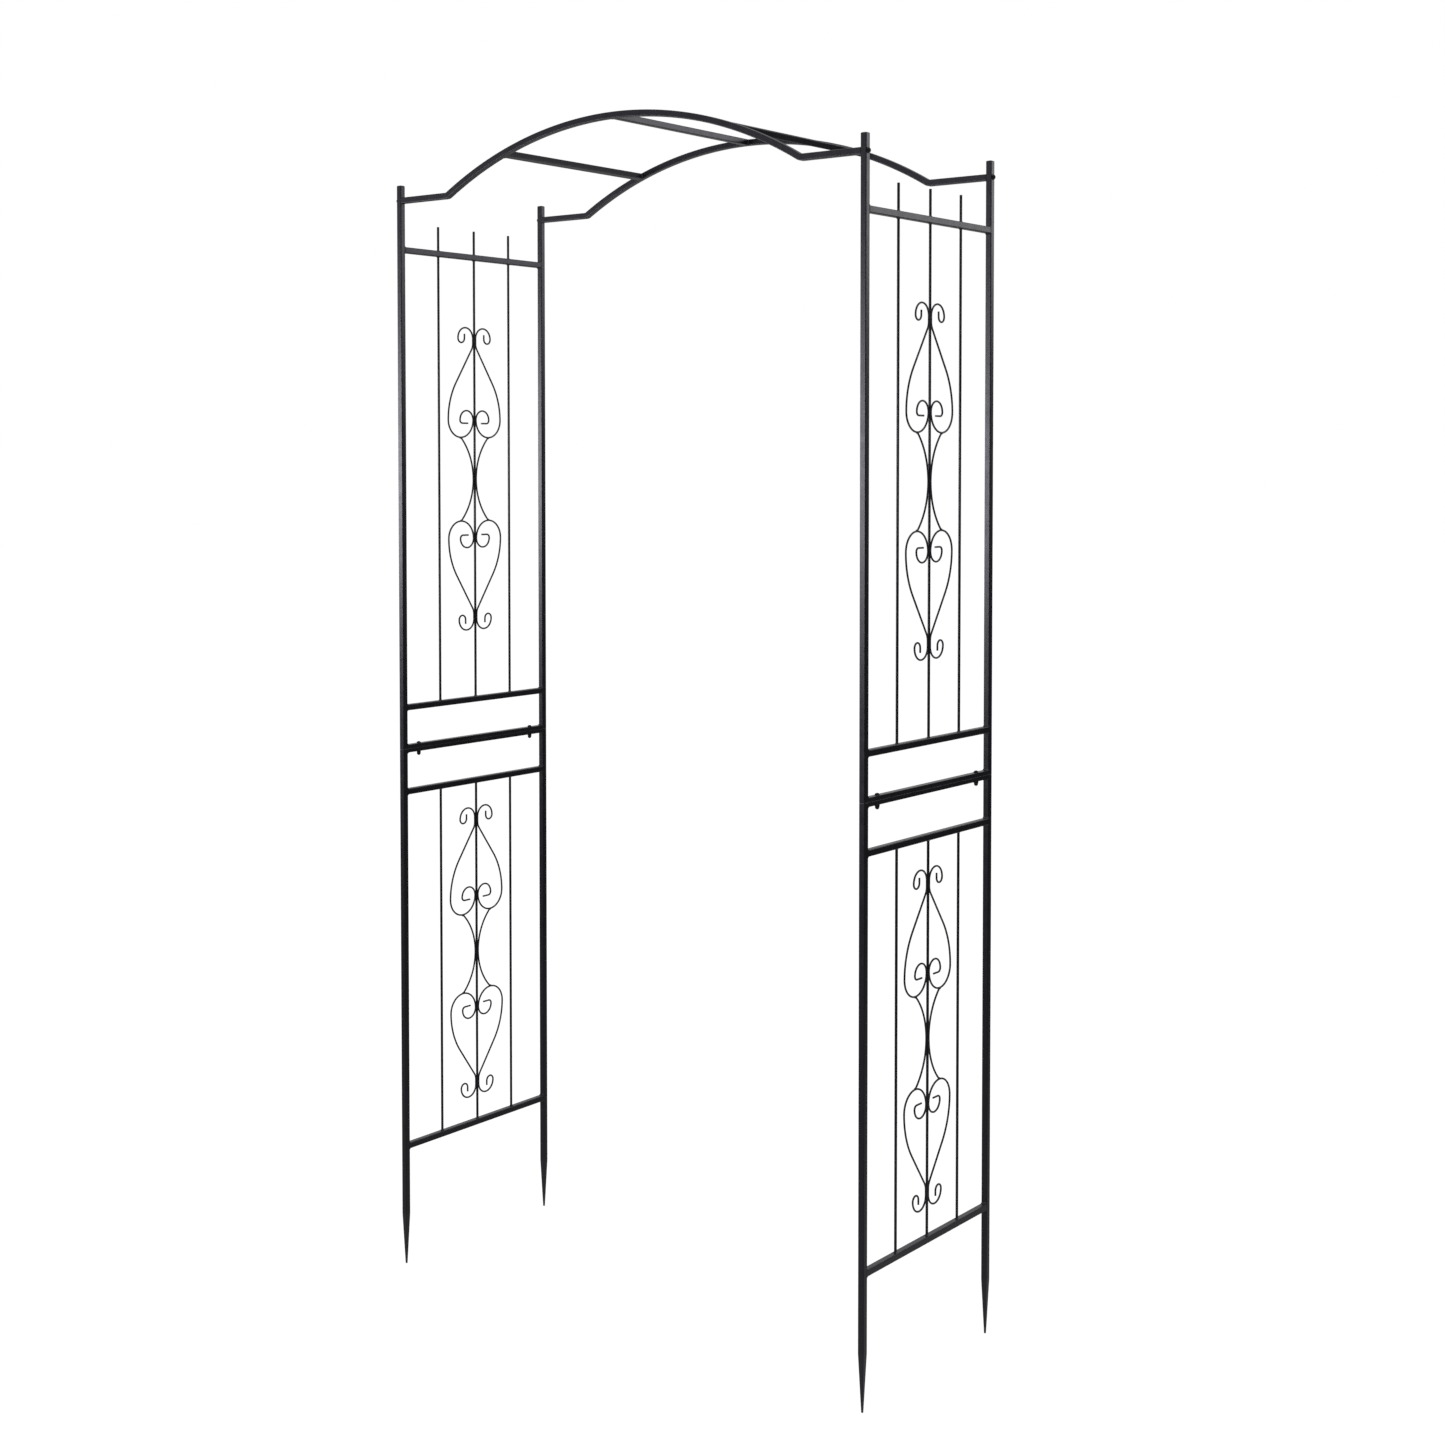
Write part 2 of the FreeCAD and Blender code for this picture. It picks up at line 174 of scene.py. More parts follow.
# Floor: mostly self-lit, so that it reads as a white backdrop without a shadow
FLOOR_DARK = (0.05, 0.05, 0.05)
FLOOR_LIGHT = (0.06, 0.06, 0.06)
FLOOR_GLOW = 0.98
FLOOR_RADII = (0.5, 2.0, 6.0, 18.0, 40.0)

# Softboxes: name, place, target, width, height and radiance. A long strip in front at chest
# height, banks high behind on both sides, and fills.
SOFTBOXES = (
    ("front_strip", (-2.6, -3.6, 1.60), (0.2, 0.0, 1.58), 3.6, 0.76, 9.2),
    ("back_bank", (3.2, 3.7, 3.1), (0.2, 0.0, 1.5), 2.6, 1.6, 2.3),
    ("far_bank", (-2.6, 4.8, 2.1), (0.3, 0.0, 1.2), 4.4, 2.2, 0.36),
    ("overhead", (0.0, 0.0, 4.2), (0.0, 0.0, 1.0), 3.0, 2.4, 1.2),
    ("left_bank", (-3.8, 1.6, 2.4), (-0.3, 0.0, 1.3), 2.0, 1.4, 1.6),
)

# Light from the surroundings: height of the direction (0 straight down, 1 straight up) and level
WORLD_LEVELS = ((0.0, 0.50), (0.32, 0.45), (0.38, 0.03), (0.45, 0.04), (0.65, 0.36), (1.0, 0.36))

POSTS = ("front_left", "front_right", "back_left", "back_right")
SIDES = ("left", "right")
LEVELS = ("lower", "upper")
ROD_PLACES = ("front", "mid", "back")
RUNG_PLACES = ("left", "mid", "right")
RAIL_BARS = ("bottom_rail", "lower_head_rail", "lower_joint_bar", "upper_joint_bar",
             "upper_base_rail", "top_rail")
ROD_RAILS = (("lower", "bottom_rail", "lower_head_rail"), ("upper", "upper_base_rail", "top_rail"))


# ---------------------------------------------------------------------------------- materials

def new_material(name):
    """Empty node material with its tree, its surface shader and object coordinates."""
    material = bpy.data.materials.new(name)
    material.use_nodes = True
    tree = material.node_tree
    shader = tree.nodes["Principled BSDF"]
    place = tree.nodes.new("ShaderNodeTexCoord").outputs["Object"]
    return material, tree, shader, place


def noise_field(tree, place, scale, detail=2.0, roughness=0.5):
    field = tree.nodes.new("ShaderNodeTexNoise")
    field.inputs["Scale"].default_value = scale
    field.inputs["Detail"].default_value = detail
    field.inputs["Roughness"].default_value = roughness
    tree.links.new(place, field.inputs["Vector"])
    return field.outputs["Fac"]


def spread(tree, value, low, high, from_low=0.3, from_high=0.7):
    """Map a noise value to a range."""
    node = tree.nodes.new("ShaderNodeMapRange")
    node.inputs["From Min"].default_value = from_low
    node.inputs["From Max"].default_value = from_high
    node.inputs["To Min"].default_value = low
    node.inputs["To Max"].default_value = high
    tree.links.new(value, node.inputs["Value"])
    return node.outputs["Result"]


def blend_colours(tree, factor, first, second):
    node = tree.nodes.new("ShaderNodeMix")
    node.data_type = "RGBA"
    node.inputs[6].default_value = (*first, 1)
    node.inputs[7].default_value = (*second, 1)
    tree.links.new(factor, node.inputs[0])
    return node.outputs[2]


def add_bump(tree, height, distance, strength, below=None):
    node = tree.nodes.new("ShaderNodeBump")
    node.inputs["Distance"].default_value = distance
    node.inputs["Strength"].default_value = strength
    tree.links.new(height, node.inputs["Height"])
    if below is not None:
        tree.links.new(below, node.inputs["Normal"])
    return node.outputs["Normal"]


def powder_coat(name, dark, light, gloss_low, gloss_high):
    """Satin powder coat: orange peel, fine grain, and slow drifts of shade and gloss."""
    material, tree, shader, place = new_material(name)
    drift = noise_field(tree, place, COAT_DRIFT, 3.0)
    speckle = noise_field(tree, place, COAT_SPECKLE, 1.0)
    mixed = tree.nodes.new("ShaderNodeMath")
    mixed.operation = "MULTIPLY_ADD"
    mixed.inputs[1].default_value = COAT_SPECKLE_SHARE
    tree.links.new(speckle, mixed.inputs[0])
    tree.links.new(drift, mixed.inputs[2])
    shade = spread(tree, mixed.outputs[0], 0.0, 1.0, *COAT_SHADE_RANGE)
    tree.links.new(blend_colours(tree, shade, dark, light), shader.inputs["Base Color"])
    gloss = spread(tree, noise_field(tree, place, COAT_GLOSS, 4.0, 0.6), gloss_low, gloss_high)
    tree.links.new(gloss, shader.inputs["Roughness"])
    peel = add_bump(tree, noise_field(tree, place, COAT_PEEL, 2.0), *PEEL_BUMP)
    grain = add_bump(tree, noise_field(tree, place, COAT_GRAIN, 1.0), *GRAIN_BUMP, peel)
    tree.links.new(grain, shader.inputs["Normal"])
    shader.inputs["Specular Tint"].default_value = COAT_TINT
    shader.inputs["IOR"].default_value = 1.5
    return material


def plated_steel(name):
    """Black zinc plating: dark metal with fine turning lines and brighter patches of wear."""
    material, tree, shader, place = new_material(name)
    wear = spread(tree, noise_field(tree, place, ZINC_WEAR, 4.0, 0.65), 0.0, 1.0, 0.5, 0.72)
    colour = blend_colours(tree, wear, (0.028, 0.028, 0.031), (0.062, 0.060, 0.058))
    tree.links.new(colour, shader.inputs["Base Color"])
    gloss = spread(tree, noise_field(tree, place, ZINC_GLOSS, 3.0), 0.22, 0.36)
    tree.links.new(gloss, shader.inputs["Roughness"])
    grain = add_bump(tree, noise_field(tree, place, ZINC_GRAIN, 2.0), *ZINC_BUMP)
    tree.links.new(grain, shader.inputs["Normal"])
    shader.inputs["Metallic"].default_value = 1.0
    return material


def moulded_plastic(name):
    """Matt black plastic with a spark-eroded texture."""
    material, tree, shader, place = new_material(name)
    shade = spread(tree, noise_field(tree, place, PLASTIC_SHADE, 3.0), 0.0, 1.0)
    colour = blend_colours(tree, shade, (0.006, 0.006, 0.007), (0.012, 0.012, 0.013))
    tree.links.new(colour, shader.inputs["Base Color"])
    gloss = spread(tree, noise_field(tree, place, PLASTIC_GLOSS, 2.0), 0.42, 0.56)
    tree.links.new(gloss, shader.inputs["Roughness"])
    grain = add_bump(tree, noise_field(tree, place, PLASTIC_GRAIN, 2.0), *PLASTIC_BUMP)
    tree.links.new(grain, shader.inputs["Normal"])
    return material


def mill_steel(name):
    """Bare drawn steel, streaked along the post."""
    material, tree, shader, place = new_material(name)
    stretch = tree.nodes.new("ShaderNodeMapping")
    stretch.inputs["Scale"].default_value = STEEL_STRETCH
    tree.links.new(place, stretch.inputs["Vector"])
    streaks = noise_field(tree, stretch.outputs["Vector"], STEEL_STREAKS, 4.0, 0.6)
    shade = spread(tree, streaks, 0.0, 1.0)
    colour = blend_colours(tree, shade, (0.30, 0.29, 0.28), (0.52, 0.51, 0.50))
    tree.links.new(colour, shader.inputs["Base Color"])
    tree.links.new(spread(tree, streaks, 0.3, 0.5), shader.inputs["Roughness"])
    tree.links.new(add_bump(tree, streaks, *STREAK_BUMP), shader.inputs["Normal"])
    shader.inputs["Metallic"].default_value = 1.0
    return material


MATERIALS = {
    "frame": powder_coat("frame_powder_coat", *FRAME_COAT),
    "scroll": powder_coat("scroll_powder_coat", *SCROLL_COAT),
    "fastener": plated_steel("black_zinc"),
    "cap": moulded_plastic("cap_plastic"),
    "hidden_steel": mill_steel("mill_steel"),
}


# ------------------------------------------------------------------------------- mesh building

def finish_piece(name, bm, slot, replaced=()):
    """Turn a bmesh into a piece of the arch with its finish, riding on the one rigid body."""
    bmesh.ops.recalc_face_normals(bm, faces=bm.faces)
    mesh = bpy.data.meshes.new(name)
    bm.to_mesh(mesh)
    bm.free()
    mesh.materials.append(MATERIALS[slot])
    mesh.shade_smooth()
    mesh.set_sharp_from_angle(angle=math.radians(SHARP_ANGLE))
    piece = bpy.data.objects.new(name, mesh)
    bpy.context.scene.collection.objects.link(piece)
    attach(piece, "root")
    if replaced:
        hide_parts(*replaced)
    return piece


def middle(box):
    return (box[0] + box[1]) / 2


def rounded_section(width, height, radius, steps=CORNER_STEPS):
    """Points and normals round a rectangle with round corners, counter-clockwise.

    Each corner has one more point on the flat at either side of it, which keeps the flats flat."""
    guard = min(FLAT_GUARD, 0.2 * (min(width, height) - 2 * radius))
    points = []
    for turn, (sign_w, sign_h) in enumerate(((1, 1), (-1, 1), (-1, -1), (1, -1))):
        for step in range(-1, steps + 2):
            angle = math.radians(90 * (turn + min(max(step, 0), steps) / steps))
            normal = (math.cos(angle), math.sin(angle))
            shift = {-1: -guard, steps + 1: guard}.get(step, 0.0)
            u = sign_w * (width / 2 - radius) + radius * normal[0] - shift * normal[1]
            v = sign_h * (height / 2 - radius) + radius * normal[1] + shift * normal[0]
            points.append((u, v, normal))
    return points


def square_ring(bm, centre, side, up, width, radius):
    ring = []
    for u, v, _ in rounded_section(width, width, radius):
        ring.append(bm.verts.new(centre + side * u + up * v))
    return ring


def round_ring(bm, centre, side, up, radius, count):
    ring = []
    for step in range(count):
        angle = math.tau * step / count
        across = centre + side * (radius * math.cos(angle))
        ring.append(bm.verts.new(across + up * (radius * math.sin(angle))))
    return ring


def hex_ring(bm, centre, side, up, flats, count):
    """Hexagon with the same number of vertices as a round ring, so that the two can be joined."""
    ring = []
    for step in range(count):
        angle = math.tau * step / count
        reach = flats / 2 / math.cos((angle + math.pi / 6) % (math.pi / 3) - math.pi / 6)
        across = centre + side * (reach * math.cos(angle))
        ring.append(bm.verts.new(across + up * (reach * math.sin(angle))))
    return ring


def skin(bm, rings, cyclic=False):
    """Faces between rings in order: closed on itself when cyclic, or with a face at each end."""
    count = len(rings[0])
    last = len(rings) if cyclic else len(rings) - 1
    for index in range(last):
        here = rings[index]
        following = rings[(index + 1) % len(rings)]
        for k in range(count):
            bm.faces.new((here[k], here[(k + 1) % count], following[(k + 1) % count], following[k]))
    if not cyclic:
        bm.faces.new(rings[0])
        bm.faces.new(rings[-1])


def turned(bm, base, axis, profile, count=48):
    """Body turned about an axis. Each profile entry is a shape, its size and its height."""
    side = axis.orthogonal().normalized()
    up = axis.cross(side)
    rings = []
    for shape, size, height in profile:
        make_ring = hex_ring if shape == "hex" else round_ring
        rings.append(make_ring(bm, base + axis * height, side, up, size, count))
    skin(bm, rings)


def quarter(steps):
    """Sine and one minus cosine along a quarter turn, for rounding an edge."""
    for step in range(steps + 1):
        angle = math.pi / 2 * step / steps
        yield math.sin(angle), 1 - math.cos(angle)


# --------------------------------------------------------------------------- posts, caps, rods

def upright_rings(bm, place, sections):
    """Square rings about an upright axis, from (height, width, corner) entries."""
    rings = []
    for height, width, corner in sections:
        centre = Vector((place.x, place.y, height))
        rings.append(square_ring(bm, centre, ACROSS, THROUGH, width, corner))
    return rings


def rounded_end(z, direction, width):
    """Sections that round a tube's end over, going towards the end at height z."""
    sections = [(z - direction * END_GUARD, width, TUBE_CORNER)]
    for rise, inset in quarter(3):
        height = z - direction * SEAM_ROUND * (1 - rise)
        sections.append((height, width - 2 * SEAM_ROUND * inset, TUBE_CORNER - SEAM_ROUND * inset))
    return sections


def make_lower_post(corner):
    """Tube with a rounded upper end, and a stake that narrows to a blunt four-sided tip."""
    node = f"lower_post_{corner}"
    low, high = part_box(node)
    width = high.x - low.x
    bore = width - 2 * TUBE_WALL
    sections = []
    for rise, inset in quarter(4):
        shrink = 2 * STAKE_TIP_ROUND * (1 - rise)
        sections.append((low.z + STAKE_TIP_ROUND * inset, STAKE_TIP - shrink, STAKE_TIP_CORNER))
    for share in STAKE_RINGS:
        across = STAKE_TIP + (width - STAKE_TIP) * share
        edge = STAKE_TIP_CORNER + (TUBE_CORNER - STAKE_TIP_CORNER) * share
        sections.append((low.z + STAKE_LENGTH * share, across, edge))
    sections.append((low.z + STAKE_LENGTH + width / 2, width, TUBE_CORNER))
    sections += rounded_end(high.z, 1, width)
    sections.append((high.z, bore, BORE_CORNER))
    sections.append((low.z + STAKE_LENGTH, bore, BORE_CORNER))
    bm = bmesh.new()
    skin(bm, upright_rings(bm, middle((low, high)), sections))
    finish_piece(f"{node}_coated", bm, "frame", [node])


def make_upper_post(corner):
    """Open tube with a rounded lower end that stands on the lower post."""
    node = f"upper_post_{corner}"
    low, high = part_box(node)
    width = high.x - low.x
    bore = width - 2 * TUBE_WALL
    sections = rounded_end(low.z, -1, width)[::-1]
    sections.append((high.z, width, TUBE_CORNER))
    sections += [(high.z, bore, BORE_CORNER), (low.z, bore, BORE_CORNER)]
    bm = bmesh.new()
    skin(bm, upright_rings(bm, middle((low, high)), sections), cyclic=True)
    finish_piece(f"{node}_coated", bm, "frame", [node])


def make_post_caps():
    """Moulded caps: a thin plate with a rounded edge, a low crown, and a plug in the tube."""
    node = "post_caps"
    cap_low, cap_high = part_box(node)
    bm = bmesh.new()
    for corner in POSTS:
        low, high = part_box(f"upper_post_{corner}")
        width = high.x - low.x
        plug = width - 2 * TUBE_WALL - CAP_PLUG_PLAY
        seat = high.z
        sections = [(cap_low.z, plug - CAP_PLUG_CHAMFER, BORE_CORNER)]
        sections.append((cap_low.z + CAP_PLUG_CHAMFER, plug, BORE_CORNER))
        sections.append((seat, plug, BORE_CORNER))
        sections.append((seat, width - CAP_EDGE, TUBE_CORNER))
        sections.append((seat + CAP_EDGE / 2, width, TUBE_CORNER))
        crown = cap_high.z - seat
        for share in CAP_CROWN_RINGS:
            inset = 1 - math.sqrt(max(0.0, 1 - share ** 2))
            across = max(width * (1 - inset * CAP_CROWN_DRAW), CAP_CROWN_TOP)
            sections.append((seat + crown * share, across, min(TUBE_CORNER, across / 3)))
        skin(bm, upright_rings(bm, middle((low, high)), sections))
    finish_piece("post_caps_moulded", bm, "cap", [node])


def make_rod(node):
    """Round rod with a small softened chamfer at both cut ends."""
    low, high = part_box(node)
    centre = middle((low, high))
    length = high.z - low.z
    softened = ROD_RADIUS - ROD_END_SOFTENING
    profile = [
        ("round", ROD_RADIUS - ROD_END_CHAMFER, 0),
        ("round", softened, 0.6 * ROD_END_CHAMFER),
        ("round", ROD_RADIUS, 1.2 * ROD_END_CHAMFER),
        ("round", ROD_RADIUS, END_GUARD),
        ("round", ROD_RADIUS, length - END_GUARD),
        ("round", ROD_RADIUS, length - 1.2 * ROD_END_CHAMFER),
        ("round", softened, length - 0.6 * ROD_END_CHAMFER),
        ("round", ROD_RADIUS - ROD_END_CHAMFER, length),
    ]
    bm = bmesh.new()
    turned(bm, Vector((centre.x, centre.y, low.z)), UP, profile, 40)
    finish_piece(f"{node}_coated", bm, "frame", [node])


# ---------------------------------------------------------------------------------- bowed bars

def bowed_line(node):
    """Points along a bowed bar's middle with their outward normals, from left to right."""
    low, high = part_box(node)
    half = (high.y - low.y) / 2
    end_z = low.z + half
    crown_z = high.z - half
    centre_z = crown_z - ARCH_RADIUS
    bend_z = end_z + ARCH_BEND_RADIUS
    bend_x = math.sqrt((ARCH_RADIUS + ARCH_BEND_RADIUS) ** 2 - (bend_z - centre_z) ** 2)
    lean = math.atan2(bend_z - centre_z, bend_x)
    right = [(high.x, end_z, 0.0, 1.0), (bend_x + END_GUARD, end_z, 0.0, 1.0)]
    for step in range(ARCH_BEND_STEPS + 1):
        turn = (math.pi / 2 - lean) * step / ARCH_BEND_STEPS
        x = bend_x - ARCH_BEND_RADIUS * math.sin(turn)
        z = bend_z - ARCH_BEND_RADIUS * math.cos(turn)
        right.append((x, z, math.sin(turn), math.cos(turn)))
    for step in range(1, ARCH_STEPS + 1):
        angle = lean + (math.pi / 2 - lean) * step / ARCH_STEPS
        x = ARCH_RADIUS * math.cos(angle)
        z = centre_z + ARCH_RADIUS * math.sin(angle)
        right.append((x, z, math.cos(angle), math.sin(angle)))
    left = [(-x, z, -normal_x, normal_z) for x, z, normal_x, normal_z in right[:-1]]
    return left + right[::-1]


def make_bowed_bar(node):
    """Hollow square bar swept along its line."""
    low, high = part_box(node)
    y = middle((low, high)).y
    width = high.y - low.y
    bore = width - 2 * TUBE_WALL
    bm = bmesh.new()
    outside = []
    inside = []
    for x, z, normal_x, normal_z in bowed_line(node):
        centre = Vector((x, y, z))
        normal = Vector((normal_x, 0, normal_z))
        outside.append(square_ring(bm, centre, THROUGH, normal, width, TUBE_CORNER))
        inside.append(square_ring(bm, centre, THROUGH, normal, bore, BORE_CORNER))
    skin(bm, outside + inside[::-1], cyclic=True)
    finish_piece(f"{node}_coated", bm, "frame", [node])


# ----------------------------------------------------------------------------------- fasteners

def socket_screw_profile(head_radius, head_height, length):
    """Shank, flat underside, domed head with a soft rim, and a hexagonal socket."""
    sphere = (head_radius ** 2 + head_height ** 2) / (2 * head_height)
    profile = [("round", SCREW_RADIUS - SCREW_END_CHAMFER, -length)]
    profile.append(("round", SCREW_RADIUS, -length + SCREW_END_CHAMFER))
    profile += [("round", SCREW_RADIUS, 0), ("round", head_radius - HEAD_RIM, 0)]
    profile.append(("round", head_radius, HEAD_RIM))
    edge = SOCKET_FLATS * SOCKET_MOUTH_SHARE
    for step in range(1, HEAD_STEPS + 1):
        radius = head_radius - (head_radius - edge) * step / HEAD_STEPS
        height = math.sqrt(sphere ** 2 - radius ** 2) - (sphere - head_height)
        profile.append(("round", radius, max(height, HEAD_RIM + 0.1 * MM * step)))
    top = profile[-1][2]
    profile.append(("hex", SOCKET_FLATS + 0.3 * MM, top - 0.05 * MM))
    profile.append(("hex", SOCKET_FLATS, top - 0.3 * MM))
    profile.append(("hex", SOCKET_FLATS, head_height - SOCKET_DEPTH))
    point = SOCKET_FLATS * SOCKET_POINT_SHARE
    profile.append(("round", point, head_height - SOCKET_DEPTH - 0.4 * MM))
    return profile


def make_arch_screws():
    """Screws driven inward through the posts, with their domed heads outside."""
    node = "arch_screws"
    low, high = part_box(node)
    bm = bmesh.new()
    profile = socket_screw_profile(ARCH_HEAD_RADIUS, ARCH_HEAD_HEIGHT, ARCH_SCREW_LENGTH)
    for corner in POSTS:
        post_low, post_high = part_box(f"upper_post_{corner}")
        centre = middle((post_low, post_high))
        outward = math.copysign(1, centre.x)
        face = post_high.x if outward > 0 else post_low.x
        base = Vector((face, centre.y, middle((low, high)).z))
        turned(bm, base, ACROSS * outward, profile)
    finish_piece("arch_screws_plated", bm, "fastener", [node])


def joint_screw_places():
    """Axis of each upright screw, at the top face of the upper joint bar."""
    low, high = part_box("joint_screws")
    places = []
    for side in SIDES:
        bar_low, bar_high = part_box(f"{side}_upper_joint_bar")
        for y in (low.y + JOINT_HEAD_RADIUS, high.y - JOINT_HEAD_RADIUS):
            places.append(Vector((middle((bar_low, bar_high)).x, y, bar_high.z)))
    return places


def make_joint_screws():
    """Upright screws through both joint bars, heads on top."""
    node = "joint_screws"
    low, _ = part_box(node)
    bm = bmesh.new()
    for place in joint_screw_places():
        length = place.z - low.z
        turned(bm, place, UP, socket_screw_profile(JOINT_HEAD_RADIUS, JOINT_HEAD_HEIGHT, length))
    finish_piece("joint_screws_plated", bm, "fastener", [node])


def make_cap_nuts():
    """Cap nuts: chamfered hexagon, short neck, round dome and a blind thread."""
    node = "joint_cap_nuts"
    low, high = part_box(node)
    height = high.z - low.z
    neck = height - NUT_DOME_RADIUS
    profile = [
        ("round", 0.4 * MM, NUT_THREAD_DEPTH),
        ("round", NUT_THREAD_RADIUS, NUT_THREAD_DEPTH - 0.6 * MM),
        ("round", NUT_THREAD_RADIUS, 0.3 * MM),
        ("round", NUT_THREAD_RADIUS + 0.3 * MM, 0),
        ("round", NUT_FLATS / 2 - 0.15 * MM, 0),
        ("hex", NUT_FLATS, 0.45 * MM),
        ("hex", NUT_FLATS, NUT_HEX_HEIGHT - 0.5 * MM),
        ("round", NUT_FLATS / 2 - 0.1 * MM, NUT_HEX_HEIGHT),
        ("round", NUT_DOME_RADIUS, NUT_HEX_HEIGHT + 0.15 * MM),
        ("round", NUT_DOME_RADIUS, neck),
    ]
    for rise, inset in list(quarter(9))[1:-1]:
        profile.append(("round", NUT_DOME_RADIUS * (1 - inset), neck + NUT_DOME_RADIUS * rise))
    profile.append(("round", 0.1 * MM, height))
    bm = bmesh.new()
    for place in joint_screw_places():
        turned(bm, Vector((place.x, place.y, high.z)), -UP, profile)
    finish_piece("joint_cap_nuts_plated", bm, "fastener", [node])


# -------------------------------------------------------------------------------------- welds

def ripple(point, scale):
    """Smooth unevenness from -1 to 1 at a place."""
    return noise.noise(point * scale)


def rod_weld(bm, centre, direction):
    """Fillet round a rod where it meets a flat face, rising in a direction along the rod."""
    count = 36
    slices = 6
    broad, fine = ROD_WELD_RIPPLES
    rings = []
    for level in range(slices + 1):
        share = level / slices
        ring = []
        for step in range(count):
            angle = math.tau * step / count
            out = Vector((math.cos(angle), math.sin(angle), 0))
            edge = centre + out * ROD_RADIUS
            uneven = ripple(edge, broad) + 0.4 * ripple(edge, fine)
            height = ROD_WELD_HEIGHT * (1 + 0.30 * uneven)
            reach = ROD_WELD_REACH * (1 + 0.22 * uneven)
            belly = ROD_WELD_BELLY * math.sin(math.pi * share)
            away = ROD_RADIUS - BEAD_SINK + reach * (1 - math.cos(share * math.pi / 2) + belly)
            rise = height * (1 - math.sin(share * math.pi / 2) + belly) - BEAD_SINK
            ring.append(bm.verts.new(centre + out * away + UP * (direction * rise)))
        rings.append(ring)
    under = []
    for step in range(count):
        angle = math.tau * step / count
        out = Vector((math.cos(angle), math.sin(angle), 0))
        root = centre + out * (ROD_RADIUS - ROD_WELD_ROOT)
        under.append(bm.verts.new(root - UP * (direction * ROD_WELD_ROOT)))
    skin(bm, rings + [under], cyclic=True)


def perimeter(width, height, radius):
    """Close-set points and normals round a rectangular section."""
    corners = rounded_section(width, height, radius, 4)
    points = []
    for index, (u, v, normal) in enumerate(corners):
        points.append((u, v, normal))
        next_u, next_v, _ = corners[(index + 1) % len(corners)]
        gaps = int(math.hypot(next_u - u, next_v - v) / BEAD_STEP)
        for step in range(1, gaps):
            share = step / gaps
            points.append((u + (next_u - u) * share, v + (next_v - v) * share, normal))
    return points


def bead_slice(bm, corner, out, along, square, gain, raised=1.0):
    """One slice of a bead: square is 1 in a right-angled corner and 0 across a flush seam."""
    broad, fine = BEAD_RIPPLES
    uneven = ripple(corner, broad) + 0.45 * ripple(corner, fine)
    swell = gain * (1 + 0.22 * uneven)
    first = along * (BEAD_LEG * swell) - out * BEAD_SINK
    in_corner = out * (BEAD_LEG * swell) - along * BEAD_SINK
    over_seam = -along * (BEAD_ON_POST * swell) - out * BEAD_SINK
    last = over_seam.lerp(in_corner, square)
    lift = (out + along * (0.85 * square)).normalized()
    share_of_mm = BEAD_FLUSH_BELLY + (BEAD_CORNER_BELLY - BEAD_FLUSH_BELLY) * square
    belly = share_of_mm * MM * swell * raised
    ring = []
    slices = 7
    for step in range(slices + 1):
        share = step / slices
        bulge = belly * 4 * share * (1 - share)
        ring.append(bm.verts.new(corner + first.lerp(last, share) + lift * bulge))
    ring.append(bm.verts.new(corner - out * (0.6 * MM) - along * (0.1 * MM)))
    return ring


def end_path(centre, wide, tall, width, height, radius, fillet_axis):
    """Points round a tube's end with their outward directions and how square the corner is there."""
    path = []
    for u, v, (normal_u, normal_v) in perimeter(width, height, radius):
        out = wide * normal_u + tall * normal_v
        path.append((centre + wide * u + tall * v, out, abs(out.dot(fillet_axis)) ** 1.5))
    return path


def closed_weld(bm, path, along, dressed):
    """Bead all round a tube's end, ground down on the side that faces the dressed direction."""
    rings = []
    for corner, out, square in path:
        raised = 1 - max(0.0, out.dot(dressed))
        rings.append(bead_slice(bm, corner, out, along, square * raised, 1.0, raised))
    skin(bm, rings, cyclic=True)


def open_weld(bm, path, along, open_side):
    """Bead round a tube's end that tapers off before the side left unwelded."""
    kept = [out.dot(open_side) < 0.3 for _, out, _ in path]
    start = next(k for k in range(len(path)) if kept[k] and not kept[k - 1])
    run = []
    for step in range(sum(kept)):
        run.append(path[(start + step) % len(path)])
    rings = []
    for index, (corner, out, square) in enumerate(run):
        from_end = min(index, len(run) - 1 - index)
        rings.append(bead_slice(bm, corner, out, along, square, min(1.0, 0.45 + 0.14 * from_end)))
    skin(bm, rings)


def lump(bm, centre, size):
    """Small uneven blob of weld metal, with a half-length along each axis."""
    count = 16
    levels = 9
    rings = []
    for level in range(1, levels):
        polar = math.pi * level / levels
        ring = []
        for step in range(count):
            angle = math.tau * step / count
            around = math.sin(polar)
            out = Vector((around * math.cos(angle), around * math.sin(angle), math.cos(polar)))
            swell = 1 + 0.16 * ripple(centre + out * MM, LUMP_RIPPLE)
            ring.append(bm.verts.new(centre + Vector([a * b * swell for a, b in zip(out, size)])))
        rings.append(ring)
    skin(bm, rings)


def make_rail_welds(side):
    """Beads where the rails of one side meet the posts."""
    bm = bmesh.new()
    for bar in RAIL_BARS:
        low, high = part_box(f"{side}_{bar}")
        centre = middle((low, high))
        open_side = {"lower_joint_bar": UP, "upper_joint_bar": -UP}.get(bar)
        radius = JOINT_BAR_CORNER if open_side else TUBE_CORNER
        for y, along in ((low.y, THROUGH), (high.y, -THROUGH)):
            end = Vector((centre.x, y, centre.z))
            path = end_path(end, ACROSS, UP, high.x - low.x, high.z - low.z, radius, UP)
            if open_side:
                open_weld(bm, path, along, open_side)
            else:
                closed_weld(bm, path, along, Vector())
    finish_piece(f"{side}_rail_welds", bm, "frame")


